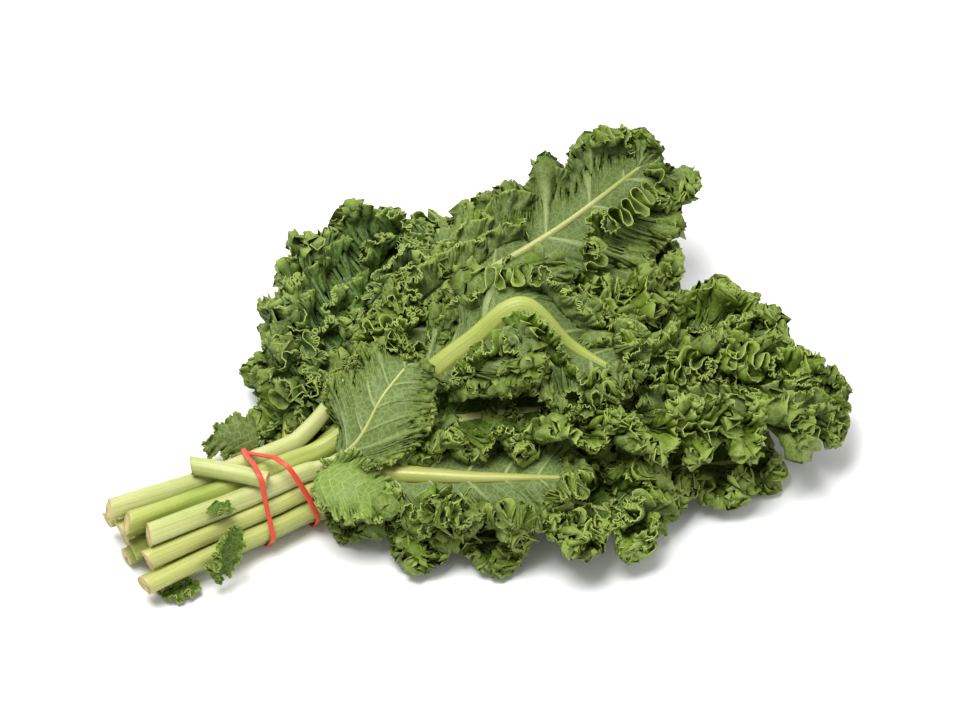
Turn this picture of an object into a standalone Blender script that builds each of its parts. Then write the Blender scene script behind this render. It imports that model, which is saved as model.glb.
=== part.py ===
"""A bunch of curly kale, tied with a rubber band and lying on its side.

Sixteen cut leaves, one solid each, run from their cut stalks through a doubled rubber band and fan out in
four layers. A snapped length of stalk, one small leaf and four torn scraps of leaf lie among the stalks.
All sizes are in metres, +X runs from the cut ends to the leaf tips, and +Z is up from the surface that the
bunch lies on.
"""

import math
from collections import namedtuple

import bmesh
import bpy
import numpy as np

# The bundle of stalks
GRIP_START = -0.150  # the stalks lie parallel between these two planes
GRIP_END = -0.094
CUT_PLANE = -0.215
BUNDLE_Y = -0.0030  # middle of the bundle, across
STALK_PITCH = 0.0120  # between stalks of one row
ROW_COUNTS = (4, 5, 4, 3)  # stalks in each row, lowest first
ROW_RISE = 0.0098
FIRST_ROW_Z = 0.0084
CUT_SPREAD = 1.14  # how much wider the bundle is at its cut ends
CUT_ROW_RISE = 0.0122
CUT_ROW_Z = 0.0070
CUT_RADIUS = 0.0059
GRIP_RADIUS = 0.0053
RIB_RADIUS = 0.0038  # midrib where the blade starts
TIP_RADIUS = 0.0016

# The heap of blades: every layer is a shallow dome over the surface
HEAP_CENTRE = (0.075, -0.005)
HEAP_REACH = (0.185, 0.165)
BLADE_THICKNESS = 0.0026
LAYER_EDGE = (0.0013, 0.0175, 0.0290, 0.0400)
LAYER_MIDDLE = (0.0013, 0.0290, 0.0540, 0.0780)
TOP_ROW = 3
GAP = 0.0008  # between blades side by side in a layer
LAYER_BLEND = 0.050  # the leaves leave the rows of the bundle for their layers over this distance

# Outline of a blade: share of its length, then share of its half width
OUTLINE_ALONG = (0.0, 0.06, 0.16, 0.34, 0.58, 0.78, 0.92, 1.0)
OUTLINE_WIDTH = (0.10, 0.42, 0.76, 0.98, 1.0, 0.84, 0.52, 0.12)

# The rubber band
BAND_X = -0.1215  # where its two turns cross
BAND_WIDTH = 0.0030
BAND_THICKNESS = 0.0011
BAND_PARTING = 0.0150  # how far each turn leaves the other, opposite the crossing
BAND_LEAN = 0.0085  # how far both turns lean towards the leaves there
BAND_LIFT = 0.0008  # half of the step between the turns where they cross
BAND_CROSSING = math.radians(55)  # seen along the stalks, from +Y towards +Z
BAND_CLEARANCE = 0.0017  # from the stalks to the middle of the band
BAND_STATIONS = 112

# The snapped length of stalk that the band holds down
SNAPPED_ENDS = ((-0.1545, 0.0117, 0.0500), (-0.1225, -0.0195, 0.0500))
SNAPPED_RADIUS = 0.0052

SCRAP_THICKNESS = 0.0014

# row and place in the bundle, x of the cut end, length of bare stalk beyond the grip, half widths of the
# blade to the left and to the right, and the route beyond the grip as (x, y, rise over the layer)
Leaf = namedtuple("Leaf", "row place cut bare left right route")
LEAVES = {
    "leaf_01": Leaf(0, 0, -0.200, 0.014, 0.034, 0.022, (
        (-0.068, -0.046, 0), (-0.038, -0.074, 0), (-0.004, -0.102, 0))),
    "leaf_02": Leaf(0, 1, -0.195, 0.035, 0.048, 0.034, (
        (-0.040, -0.034, 0), (0.056, -0.076, 0), (0.162, -0.120, 0))),
    "leaf_03": Leaf(0, 2, -0.204, 0.040, 0.052, 0.050, (
        (-0.040, 0.004, 0), (0.070, 0.008, 0), (0.190, -0.020, 0))),
    "leaf_04": Leaf(0, 3, -0.198, 0.018, 0.030, 0.046, (
        (-0.066, 0.036, 0), (-0.030, 0.082, 0), (0.016, 0.140, 0))),
    "leaf_05": Leaf(1, 0, -0.207, 0.010, 0.022, 0.014, (
        (-0.076, -0.044, 0), (-0.058, -0.058, 0), (-0.042, -0.074, 0))),
    "leaf_06": Leaf(1, 1, -0.193, 0.024, 0.040, 0.036, (
        (-0.048, -0.038, 0), (0.010, -0.084, 0), (0.068, -0.138, 0))),
    "leaf_07": Leaf(1, 2, -0.202, 0.038, 0.040, 0.046, (
        (-0.040, -0.010, 0), (0.070, -0.030, 0), (0.2065, -0.056, 0.018))),
    "leaf_08": Leaf(1, 3, -0.197, 0.036, 0.046, 0.046, (
        (-0.045, 0.018, 0), (0.060, 0.060, 0), (0.178, 0.100, 0))),
    "leaf_09": Leaf(1, 4, -0.205, 0.012, 0.020, 0.034, (
        (-0.078, 0.044, 0), (-0.060, 0.076, 0), (-0.032, 0.110, 0))),
    "leaf_10": Leaf(2, 0, -0.201, 0.022, 0.036, 0.030, (
        (-0.066, -0.038, 0), (-0.020, -0.072, 0), (0.034, -0.104, 0))),
    "leaf_11": Leaf(2, 1, -0.194, 0.045, 0.040, 0.046, (
        (-0.045, -0.018, 0), (0.060, -0.060, 0), (0.2075, -0.117, 0))),
    "leaf_12": Leaf(2, 2, -0.205, 0.042, 0.042, 0.044, (
        (-0.040, 0.010, 0), (0.055, 0.020, 0), (0.172, 0.022, 0))),
    "leaf_13": Leaf(2, 3, -0.199, 0.028, 0.040, 0.042, (
        (-0.060, 0.026, 0), (-0.010, 0.074, 0), (0.060, 0.131, 0))),
    "leaf_14": Leaf(3, 0, -0.196, 0.018, 0.024, 0.028, (
        (-0.066, -0.021, 0), (-0.042, -0.012, 0.008), (-0.018, -0.003, 0.011))),
    "leaf_15": Leaf(3, 1, -0.203, 0.080, 0.030, 0.034, (
        (-0.055, -0.004, -0.008), (-0.016, -0.008, -0.003), (0.014, -0.012, 0.010), (0.046, -0.018, 0.026),
        (0.064, -0.040, 0.006), (0.086, -0.074, 0.0))),
    "leaf_16": Leaf(3, 2, -0.208, 0.070, 0.032, 0.036, (
        (-0.055, 0.016, 0), (0.020, 0.036, 0), (0.108, 0.045, 0.012), (0.197, 0.069, 0.035))),
}

# start, middle and tip of the midline, direction of the width, half width
Scrap = namedtuple("Scrap", "start middle tip across half_width")
SCRAPS = {
    "small_leaf": Scrap((-0.0915, -0.0330, 0.0400), (-0.0790, -0.0440, 0.0440), (-0.0640, -0.0560, 0.0440),
                        (0.60, 0.80, 0.0), 0.016),
    "scrap_hanging": Scrap((-0.1500, -0.0360, 0.0360), (-0.1570, -0.0400, 0.0220), (-0.1640, -0.0405, 0.0090),
                           (1.0, 0.0, 0.0), 0.009),
    "scrap_low": Scrap((-0.1970, -0.0370, 0.0030), (-0.1860, -0.0380, 0.0022), (-0.1750, -0.0395, 0.0030),
                       (0.0, 1.0, 0.0), 0.005),
    "scrap_far": Scrap((-0.1100, 0.0350, 0.0150), (-0.1170, 0.0420, 0.0200), (-0.1250, 0.0490, 0.0180),
                       (0.60, 0.20, 0.78), 0.011),
    "scrap_top": Scrap((-0.1700, -0.0090, 0.0470), (-0.1620, -0.0110, 0.0479), (-0.1540, -0.0160, 0.0470),
                       (0.30, 1.0, 0.0), 0.004),
}

# The gentle wave of the margins
WAVE_HEIGHT = 0.0034
WAVES_PER_BLADE = 3.0

SECTION_COLUMNS = 9  # points over one side of a leaf's section
STALK_STATIONS = 7
BLADE_STATIONS = 13


def clear_scene():
    """Empty the scene and return the collection of the parts."""
    for item in list(bpy.data.objects):
        bpy.data.objects.remove(item, do_unlink=True)
    parts = bpy.data.collections.new("kale_bunch")
    bpy.context.scene.collection.children.link(parts)
    return parts


def material(name, colour, roughness):
    """A Principled BSDF material of one colour."""
    result = bpy.data.materials.new(name)
    result.use_nodes = True
    shader = result.node_tree.nodes["Principled BSDF"]
    shader.inputs["Base Color"].default_value = (*colour, 1.0)
    shader.inputs["Roughness"].default_value = roughness
    return result


def smoothstep(value):
    """Ease from 0 to 1."""
    value = np.clip(value, 0.0, 1.0)
    return value * value * (3.0 - 2.0 * value)


def row_height(row, x):
    """Height of a row of stalks, which opens out towards the cut ends."""
    grip = FIRST_ROW_Z + ROW_RISE * row
    cut = CUT_ROW_Z + CUT_ROW_RISE * row
    share = np.clip((GRIP_START - x) / (GRIP_START - CUT_PLANE), 0.0, 1.2)
    return grip + (cut - grip) * share


def layer_height(row, x, y):
    """Height of a layer of leaves over any point of the surface."""
    along = (x - HEAP_CENTRE[0]) / HEAP_REACH[0]
    across = (y - HEAP_CENTRE[1]) / HEAP_REACH[1]
    dome = np.clip(1.0 - along**2 - across**2, 0.0, 1.0)
    layer = LAYER_EDGE[row] + (LAYER_MIDDLE[row] - LAYER_EDGE[row]) * dome
    away = np.hypot(np.maximum(x - GRIP_END, 0.0), y - BUNDLE_Y)
    share = smoothstep(away / LAYER_BLEND) * smoothstep((x - GRIP_END) / 0.012)
    return row_height(row, x) * (1.0 - share) + layer * share


def stalk_place(leaf):
    """Distance of a stalk across the grip."""
    return BUNDLE_Y + STALK_PITCH * (leaf.place - (ROW_COUNTS[leaf.row] - 1) / 2)


def smooth_route(points):
    """Dense points of a smooth curve through the points, with the plan length up to each."""
    points = np.array(points, dtype=float)
    knots = np.concatenate(([0.0], np.cumsum(np.linalg.norm(np.diff(points[:, :2], axis=0), axis=1))))
    slopes = np.gradient(points, knots, axis=0)
    fine = np.linspace(0.0, knots[-1], 600)
    cell = np.clip(np.searchsorted(knots, fine, side="right") - 1, 0, len(knots) - 2)
    span = (knots[cell + 1] - knots[cell])[:, None]
    t = (fine - knots[cell])[:, None] / span
    curve = (2 * t**3 - 3 * t**2 + 1) * points[cell] + (3 * t**2 - 2 * t**3) * points[cell + 1]
    curve += (t**3 - 2 * t**2 + t) * slopes[cell] * span + (t**3 - t**2) * slopes[cell + 1] * span
    length = np.concatenate(([0.0], np.cumsum(np.linalg.norm(np.diff(curve[:, :2], axis=0), axis=1))))
    return curve, length


def at_length(route, length, distances):
    """Points of a smooth route at the given plan distances from its start."""
    return np.stack([np.interp(distances, length, route[:, k]) for k in range(route.shape[1])], axis=1)


def leaf_route(leaf):
    """The whole route of a leaf from its cut end to its tip."""
    place = stalk_place(leaf)
    cut_place = BUNDLE_Y + (place - BUNDLE_Y) * CUT_SPREAD
    start = ((leaf.cut, cut_place, 0.0), (GRIP_START, place, 0.0), (BAND_X, place, 0.0),
             (GRIP_END, place, 0.0))
    return smooth_route(start + leaf.route)


def room_beside(leaf, centre, step):
    """Half of the distance from a leaf's route to that of its neighbour in the same layer."""
    for other in LEAVES.values():
        if other.row == leaf.row < TOP_ROW and other.place == leaf.place + step:
            line = leaf_route(other)[0]
            apart = np.linalg.norm(centre[:, None, :2] - line[None, :, :2], axis=2).min(axis=1)
            return apart / 2 - GAP
    return np.full(len(centre), 1.0)


def margin_wave(leaf, share, column):
    """Height of the wave of the margins; the lowest leaves lie on the surface, so they only wave upwards."""
    phase = 2.1 * leaf.place + 1.3 * leaf.row + np.where(column < 0, 0.0, 1.9)
    wave = np.sin(share[:, None] * 2.0 * math.pi * WAVES_PER_BLADE + phase)
    if leaf.row == 0:
        wave = 1.0 + wave
    outer = np.clip((np.abs(column) - 2.0) / 2.0, 0.0, 1.0)
    return WAVE_HEIGHT * wave * outer * np.sin(math.pi * share[:, None])


def add_object(parts, name, bm, skin):
    """Make one closed, outward-facing object of a bmesh."""
    bmesh.ops.recalc_face_normals(bm, faces=bm.faces)
    mesh = bpy.data.meshes.new(name)
    bm.to_mesh(mesh)
    bm.free()
    mesh.materials.append(skin)
    item = bpy.data.objects.new(name, mesh)
    parts.objects.link(item)
    return item


def tube_of_sections(sections):
    """Close a stack of ring sections, given as (station, point, xyz), into one solid."""
    stations, points = sections.shape[:2]
    bm = bmesh.new()
    bmesh.ops.create_grid(bm, x_segments=stations - 1, y_segments=points, size=1.0)
    for vert in bm.verts:
        station = round((vert.co.x + 1.0) / 2.0 * (stations - 1))
        point = round((vert.co.y + 1.0) / 2.0 * points) % points
        vert.co = sections[station, point]
    bmesh.ops.remove_doubles(bm, verts=bm.verts, dist=1e-7)
    ends = bmesh.ops.holes_fill(bm, edges=[edge for edge in bm.edges if edge.is_boundary], sides=0)
    bmesh.ops.triangulate(bm, faces=ends["faces"])
    return bm


def leaf_solid(parts, name, leaf, skin):
    """One kale leaf: its stalk and midrib with the blade on both sides, in one piece."""
    route, length = leaf_route(leaf)
    grip_end = length[np.argmin(np.abs(route[:, 0] - GRIP_END))]
    blade_start = grip_end + leaf.bare
    stalk = np.linspace(0.0, blade_start, STALK_STATIONS + 1)[:-1]
    along = np.linspace(0.0, 1.0, BLADE_STATIONS)
    distances = np.concatenate((stalk, blade_start + along * (length[-1] - blade_start)))
    centre = at_length(route, length, distances)
    ahead = at_length(route, length, np.minimum(distances + 0.002, length[-1]))
    behind = at_length(route, length, np.maximum(distances - 0.002, 0.0))
    heading = ahead[:, :2] - behind[:, :2]
    heading /= np.linalg.norm(heading, axis=1)[:, None]
    side = np.stack((heading[:, 1], -heading[:, 0]), axis=1)

    share = np.clip((distances - blade_start) / (length[-1] - blade_start), 0.0, 1.0)
    outline = np.interp(share, OUTLINE_ALONG, OUTLINE_WIDTH)
    blade = smoothstep((distances - blade_start) / 0.012 + 0.25)
    radius = np.interp(distances, (0.0, grip_end, blade_start, length[-1]),
                       (CUT_RADIUS, GRIP_RADIUS, RIB_RADIUS, TIP_RADIUS))

    count = SECTION_COLUMNS
    column = np.arange(count) - (count - 1) / 2
    turn = np.radians(180.0 / count) * column
    round_out = radius[:, None] * np.sin(turn)
    round_up = radius[:, None] * np.cos(turn)
    step = np.array((1.0, 0.66, 0.33, 0.0, 0.0, 0.0, 0.33, 0.66, 1.0))
    left = np.minimum(leaf.left * outline, room_beside(leaf, centre, 1))
    right = np.minimum(leaf.right * outline, room_beside(leaf, centre, -1))
    half = np.where(column < 0, left[:, None], right[:, None])
    half = np.maximum(half, radius[:, None] * 1.05)
    rib = radius[:, None] * np.clip(np.abs(column), 0.0, 1.0)
    flat_out = np.sign(column) * (rib + (half - rib) * step)
    flat_up = np.where(np.abs(column) < 0.5, radius[:, None], BLADE_THICKNESS / 2)
    shoulder = np.maximum(BLADE_THICKNESS / 2, radius[:, None] * 0.55)
    flat_up = np.where(np.abs(np.abs(column) - 1.0) < 0.1, shoulder, flat_up)
    out = round_out * (1.0 - blade[:, None]) + flat_out * blade[:, None]
    up = round_up * (1.0 - blade[:, None]) + flat_up * blade[:, None]

    x = centre[:, None, 0] + side[:, None, 0] * out
    y = centre[:, None, 1] + side[:, None, 1] * out
    middle = layer_height(leaf.row, centre[:, 0], centre[:, 1])[:, None]
    base = middle + (layer_height(leaf.row, x, y) - middle) * blade[:, None] + centre[:, None, 2]
    base += margin_wave(leaf, share, column)
    upper = np.stack((x, y, base + up), axis=2)
    lower = np.stack((x, y, np.maximum(base - up, 0.0)), axis=2)[:, ::-1]
    bm = tube_of_sections(np.concatenate((upper, lower), axis=1))
    return add_object(parts, name, bm, skin)


def scrap_solid(parts, name, scrap, skin):
    """A small torn piece of leaf, bent along its midline."""
    start, middle, tip = (np.array(point) for point in (scrap.start, scrap.middle, scrap.tip))
    across = np.array(scrap.across) / np.linalg.norm(scrap.across)
    bm = bmesh.new()
    bmesh.ops.create_grid(bm, x_segments=6, y_segments=4, size=1.0)
    for vert in bm.verts:
        t = (vert.co.x + 1.0) / 2.0
        centre = start * (1 - t) * (1 - 2 * t) + middle * 4 * t * (1 - t) + tip * t * (2 * t - 1)
        width = scrap.half_width * (0.35 + 0.65 * math.sin(math.pi * (0.12 + 0.8 * t)))
        vert.co = centre + across * width * vert.co.y
    mesh = bpy.data.meshes.new(name)
    bm.to_mesh(mesh)
    bm.free()
    mesh.materials.append(skin)
    item = bpy.data.objects.new(name, mesh)
    parts.objects.link(item)
    shell = item.modifiers.new("thickness", "SOLIDIFY")
    shell.thickness = SCRAP_THICKNESS
    shell.offset = 0.0
    return item


def snapped_stalk(parts, skin):
    """The short length of stalk under the band."""
    start, end = (np.array(point) for point in SNAPPED_ENDS)
    heading = (end - start) / np.linalg.norm(end - start)
    side = np.array((heading[1], -heading[0], 0.0)) / np.hypot(heading[0], heading[1])
    up = np.cross(side, heading)
    turn = np.linspace(0.0, 2.0 * math.pi, 17)[:-1]
    ring = np.cos(turn)[:, None] * side + np.sin(turn)[:, None] * up
    stations = ((0.0, 0.90), (0.015, 1.0), (0.30, 1.0), (0.70, 0.95), (0.985, 0.93), (1.0, 0.83))
    sections = [start + (end - start) * t + ring * SNAPPED_RADIUS * size for t, size in stations]
    return add_object(parts, "snapped_stalk", tube_of_sections(np.array(sections)), skin)


def girth(count):
    """Points of the tight line round the stalks and the snapped stalk, as (y, z), with outward normals."""
    discs = []
    for leaf in LEAVES.values():
        discs.append((stalk_place(leaf), FIRST_ROW_Z + ROW_RISE * leaf.row, GRIP_RADIUS + 0.0002))
    start, end = SNAPPED_ENDS
    share = (BAND_X - 0.006 - start[0]) / (end[0] - start[0])
    crossing = start[1] + (end[1] - start[1]) * share
    discs.append((crossing - 0.0025, start[2], SNAPPED_RADIUS))
    discs.append((crossing + 0.0025, start[2], SNAPPED_RADIUS))
    discs = np.array(discs)
    turn = np.linspace(0.0, 2.0 * math.pi, 2881)
    outward = np.stack((np.cos(turn), np.sin(turn)), axis=1)
    reach = discs[:, :2] @ outward.T + discs[:, 2:3]
    nearest = np.argmax(reach, axis=0)
    line = discs[nearest, :2] + outward * (discs[nearest, 2:3] + BAND_CLEARANCE)
    length = np.concatenate(([0.0], np.cumsum(np.linalg.norm(np.diff(line, axis=0), axis=1))))
    start_at = np.interp(BAND_CROSSING, turn, length)
    even = (start_at + np.linspace(0.0, length[-1], count + 1)[:-1]) % length[-1]
    points = np.stack([np.interp(even, length, line[:, k]) for k in range(2)], axis=1)
    chord = np.roll(points, -1, axis=0) - np.roll(points, 1, axis=0)
    normals = np.stack((chord[:, 1], -chord[:, 0]), axis=1)
    return points, normals / np.linalg.norm(normals, axis=1)[:, None]


def rubber_band(parts, skin):
    """The band: one loop wound twice round the stalks, its turns crossing once."""
    half = BAND_STATIONS // 2
    points, normals = girth(half)
    station = np.arange(BAND_STATIONS)
    share = station / half * math.pi  # from 0 to 2 pi over both turns
    x = BAND_X - BAND_PARTING * np.sin(share) + BAND_LEAN * (1.0 - np.cos(2.0 * share)) / 2
    lift = BAND_LIFT * np.cos(share)
    turn = station % half
    line = points[turn] + normals[turn] * lift[:, None]
    centre = np.stack((x, line[:, 0], line[:, 1]), axis=1)
    heading = np.roll(centre, -1, axis=0) - np.roll(centre, 1, axis=0)
    heading /= np.linalg.norm(heading, axis=1)[:, None]
    outward = np.stack((np.zeros(BAND_STATIONS), normals[turn, 0], normals[turn, 1]), axis=1)
    across = np.cross(heading, outward)
    across /= np.linalg.norm(across, axis=1)[:, None]
    outward = np.cross(across, heading)
    corners = ((-0.5, -0.30), (-0.30, -0.5), (0.30, -0.5), (0.5, -0.30),
               (0.5, 0.30), (0.30, 0.5), (-0.30, 0.5), (-0.5, 0.30))
    bm = bmesh.new()
    bmesh.ops.create_grid(bm, x_segments=BAND_STATIONS, y_segments=len(corners), size=1.0)
    for vert in bm.verts:
        k = round((vert.co.x + 1.0) / 2.0 * BAND_STATIONS) % BAND_STATIONS
        wide, thick = corners[round((vert.co.y + 1.0) / 2.0 * len(corners)) % len(corners)]
        vert.co = centre[k] + across[k] * wide * BAND_WIDTH + outward[k] * thick * BAND_THICKNESS
    bmesh.ops.remove_doubles(bm, verts=bm.verts, dist=1e-7)
    return add_object(parts, "rubber_band", bm, skin)


def build():
    """Make every piece of the bunch."""
    parts = clear_scene()
    leaf_skin = material("kale_leaf", (0.105, 0.155, 0.030), 0.6)
    stalk_skin = material("kale_stalk", (0.36, 0.42, 0.12), 0.5)
    band_skin = material("red_rubber", (0.72, 0.07, 0.03), 0.45)
    for name, leaf in LEAVES.items():
        leaf_solid(parts, name, leaf, leaf_skin)
    for name, scrap in SCRAPS.items():
        scrap_solid(parts, name, scrap, leaf_skin)
    snapped_stalk(parts, stalk_skin)
    rubber_band(parts, band_skin)


build()
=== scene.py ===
"""A tied bunch of curly kale lying on its side: the finished look over its fixed solids."""

import math
from collections import namedtuple

import bmesh
import bpy
import numpy as np
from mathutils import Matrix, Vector


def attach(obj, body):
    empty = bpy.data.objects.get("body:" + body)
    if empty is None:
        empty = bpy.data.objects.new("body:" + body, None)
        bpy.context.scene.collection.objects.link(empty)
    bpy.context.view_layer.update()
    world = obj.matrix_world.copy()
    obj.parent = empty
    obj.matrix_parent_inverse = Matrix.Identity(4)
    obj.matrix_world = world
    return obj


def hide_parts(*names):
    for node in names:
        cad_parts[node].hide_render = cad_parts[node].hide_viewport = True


# The bundle of stalks and the heap of blades, as in the solids
GRIP_START = -0.150
GRIP_END = -0.094
CUT_PLANE = -0.215
BAND_X = -0.1215
BUNDLE_Y = -0.0030
STALK_PITCH = 0.0120
ROW_COUNTS = (4, 5, 4, 3)
ROW_RISE = 0.0098
FIRST_ROW_Z = 0.0084
CUT_SPREAD = 1.14
CUT_ROW_RISE = 0.0122
CUT_ROW_Z = 0.0070
CUT_RADIUS = 0.0060
GRIP_RADIUS = 0.0054
RIB_RADIUS = 0.0038
TIP_RADIUS = 0.0010
HEAP_CENTRE = (0.075, -0.005)
HEAP_REACH = (0.185, 0.165)
LAYER_EDGE = (0.0090, 0.0195, 0.0300, 0.0420)
LAYER_MIDDLE = (0.0100, 0.0310, 0.0560, 0.0790)
LAYER_BLEND = 0.050

BLADE_THICKNESS = 0.00050
FIELD = (5200, 48)  # points that a blade's folds are worked out on, round it and from midrib to margin
COLUMNS_PER_METRE = 5800  # of a blade's mesh, along its outline from base round the tip and back
# rings of a blade's mesh: share of the way from midrib to margin, and how many columns share one point there
ROWS = ((0.0, 4), (0.14, 4), (0.28, 4), (0.41, 4), (0.53, 2), (0.63, 2), (0.71, 2), (0.785, 1), (0.85, 1),
        (0.91, 1), (0.96, 1), (1.0, 1))
FRILL_COLUMNS = 1808  # of a fold that stands along the whole outline
FRILL_ROWS = ((0.0, 4), (0.22, 2), (0.42, 2), (0.58, 1), (0.73, 1), (0.87, 1), (1.0, 1))
# where each standing fold is rooted between midrib and margin, its height, its lean outwards, and the part of
# the outline it runs along, from 0 at the left of the base through 0.5 at the tip to 1 at the right
FRILLS = {
    "leaf_06": ((0.50, 0.016, 0.4, 0.0, 1.0),),
    "leaf_07": ((0.30, 0.016, 0.1, 0.0, 1.0), (0.62, 0.016, 0.4, 0.2, 1.0)),
    "leaf_08": ((0.32, 0.022, 0.0, 0.0, 1.0), (0.66, 0.018, 0.3, 0.0, 1.0)),
    "leaf_10": ((0.76, 0.012, 0.5, 0.30, 1.0),),
    "leaf_11": ((0.24, 0.017, 0.0, 0.0, 0.72), (0.58, 0.017, 0.3, 0.0, 0.72)),
    "leaf_12": ((0.26, 0.017, 0.0, 0.0, 1.0), (0.60, 0.017, 0.3, 0.0, 1.0)),
    "leaf_13": ((0.26, 0.017, 0.0, 0.0, 1.0), (0.60, 0.017, 0.3, 0.0, 1.0)),
    "leaf_15": ((0.50, 0.015, 0.2, 0.14, 0.88), (0.74, 0.015, 0.5, 0.2, 0.8)),
    "leaf_16": ((0.20, 0.018, 0.0, 0.02, 0.30), (0.60, 0.016, 0.3, 0.0, 0.46), (0.46, 0.018, 0.3, 0.54, 0.98),
                (0.14, 0.016, 0.0, 0.72, 0.98)),
}
FRILL_SPAN = 0.6  # length of a whole one, as its irregularities count it
FRILL_POINTS = 20  # of its field, from root to crest
FRILL_SINK = 0.0010  # of its root into the blade
FRILL_SOFTENING = 151  # points that its root line is averaged over
FRILL_SHARE = 0.55  # of the bake map, to the blade's own

# lengths of the three sizes of fold, from the waves of the whole blade to the curls of its margin, and how
# far the folds and curls turn the blade (radians)
LARGE_WAVE = 0.050
FOLD_WAVE = 0.0128
CURL_WAVE = 0.0034
FOLD_TURN = 1.60
CURL_TURN = 1.55
STEEPEST_TURN = 1.9
GENTLER_FOLDS = {"leaf_10": 1.30, "leaf_14": 0.85, "leaf_15": 1.40, "leaf_16": 1.40}

# the outline: where the margin starts along the blade, its fullest place and roundness, the slant of the side
# veins and the last of them, and its lobes and teeth
MARGIN_START = 0.02
FULLEST = 0.88
ROUNDNESS = 0.72
VEIN_SLANT = 0.375
LAST_VEIN = 0.90
LOBE_LENGTH = 0.040
LOBE_DEPTH = 0.20
TOOTH_LENGTH = 0.0016
TOOTH_HEIGHT = 0.008

SIDE_VEINS = 9.0
BETWEEN_VEINS = 0.37  # a place round the outline where no side vein runs
VEIN_HEIGHT = 0.0008
BACK_VEIN_HEIGHT = 0.0016
VEIN_WIDTH = 0.0011
POCKET_REACH = 0.012  # how far the raised blade between two veins falls off towards each
POCKET_HEIGHT = 1.6  # of a vein's height
SLOPE_REACH = 0.025  # how far to either side of a midrib the layer's slope is measured
SLOPE_SHARE = 0.7  # how much of that slope the blade follows
STEP = 0.003  # half the distance over which a line's heading is measured

DARK_LEAVES = ("leaf_04", "leaf_08", "leaf_13")
# thickness of some midribs, to that of the others
RIB_SIZE = {"leaf_10": 1.8, "leaf_14": 0.42, "leaf_15": 1.75, "leaf_16": 0.95}
RIB_HOLD = {"leaf_15": 0.86}  # how much of a midrib's thickness is left half way along its blade
RING = 26  # points round a stalk
# size and depth of the rings of a cut end
CUT_RINGS = ((0.02, 0.0007), (0.35, 0.0006), (0.70, 0.0002), (0.88, 0.0), (0.96, 0.0), (1.0, 0.0006))

# lowest height of a fold, how far above it folds are pressed back, and the box they are pressed into
LOW_Z = 0.0004
PRESS_HEIGHT = 0.004
PRESS_WAY = 0.008
BOX_LOW = np.array((-0.2250, -0.1555, 0.0))
BOX_HIGH = np.array((0.2260, 0.1560, 0.1165))
BOX_WAY = 0.012

# the camera's turn and tilt round the bunch, its distance, the width that it sees there, and how far to the
# right and up its view is centred
VIEW_TURN = math.radians(-30.0)
VIEW_TILT = math.radians(45.0)
VIEW_DISTANCE = 1.60
VIEW_WIDTH = 0.576
VIEW_CENTRE = (0.024, 0.048)
SKY_STRENGTH = 0.56
LAMPS = (
    ("key", (-0.35, -0.10, 1.5), 0.7, 31.0),
    ("fill", (1.2, -1.0, 1.0), 1.2, 5.0),
    ("back", (0.3, 1.4, 1.0), 1.0, 8.0),
)

# row and place in the bundle, x of the cut end, length of bare stalk beyond the grip, which of the stalk
# colours it has, and the route beyond the grip as (x, y, rise over the layer)
Leaf = namedtuple("Leaf", "row place cut bare tone route")
LEAVES = {
    "leaf_01": Leaf(0, 0, -0.200, 0.014, 2, ((-0.068, -0.046, 0), (-0.038, -0.074, 0), (-0.004, -0.102, 0))),
    "leaf_02": Leaf(0, 1, -0.195, 0.035, 0, ((-0.040, -0.034, 0), (0.056, -0.076, 0), (0.162, -0.120, 0))),
    "leaf_03": Leaf(0, 2, -0.204, 0.040, 1, ((-0.040, 0.004, 0), (0.070, 0.008, 0), (0.190, -0.020, 0))),
    "leaf_04": Leaf(0, 3, -0.198, 0.018, 2, ((-0.066, 0.036, 0), (-0.030, 0.082, 0), (0.016, 0.140, 0))),
    "leaf_05": Leaf(1, 0, -0.207, 0.010, 0, ((-0.076, -0.044, 0), (-0.058, -0.058, 0), (-0.042, -0.074, 0))),
    "leaf_06": Leaf(1, 1, -0.193, 0.024, 2, ((-0.048, -0.038, 0), (0.010, -0.084, 0), (0.068, -0.138, 0))),
    "leaf_07": Leaf(1, 2, -0.202, 0.038, 1, (
        (-0.040, -0.010, 0), (0.070, -0.030, 0), (0.2065, -0.056, 0.018))),
    "leaf_08": Leaf(1, 3, -0.197, 0.036, 0, ((-0.045, 0.018, 0), (0.060, 0.060, 0), (0.178, 0.100, 0))),
    "leaf_09": Leaf(1, 4, -0.205, 0.012, 1, ((-0.078, 0.044, 0), (-0.060, 0.076, 0), (-0.032, 0.110, 0))),
    "leaf_10": Leaf(2, 0, -0.201, 0.022, 0, ((-0.066, -0.038, 0), (-0.020, -0.072, 0), (0.034, -0.104, 0))),
    "leaf_11": Leaf(2, 1, -0.194, 0.045, 2, ((-0.045, -0.018, 0), (0.060, -0.060, 0), (0.2075, -0.117, 0))),
    "leaf_12": Leaf(2, 2, -0.205, 0.042, 1, ((-0.040, 0.010, 0), (0.055, 0.020, 0), (0.172, 0.022, 0))),
    "leaf_13": Leaf(2, 3, -0.199, 0.028, 0, ((-0.060, 0.026, 0), (-0.010, 0.074, 0), (0.060, 0.131, 0))),
    "leaf_14": Leaf(3, 0, -0.196, 0.018, 2, (
        (-0.066, -0.021, 0), (-0.042, -0.012, 0.008), (-0.018, -0.003, 0.011))),
    "leaf_15": Leaf(3, 1, -0.203, 0.080, 1, (
        (-0.055, -0.004, -0.008), (-0.016, -0.008, -0.003), (0.014, -0.012, 0.010), (0.046, -0.018, 0.026),
        (0.064, -0.040, 0.006), (0.086, -0.074, 0.0))),
    "leaf_16": Leaf(3, 2, -0.208, 0.070, 2, (
        (-0.055, 0.016, 0), (0.020, 0.036, 0), (0.108, 0.045, 0.012), (0.197, 0.069, 0.035))),
}

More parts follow.
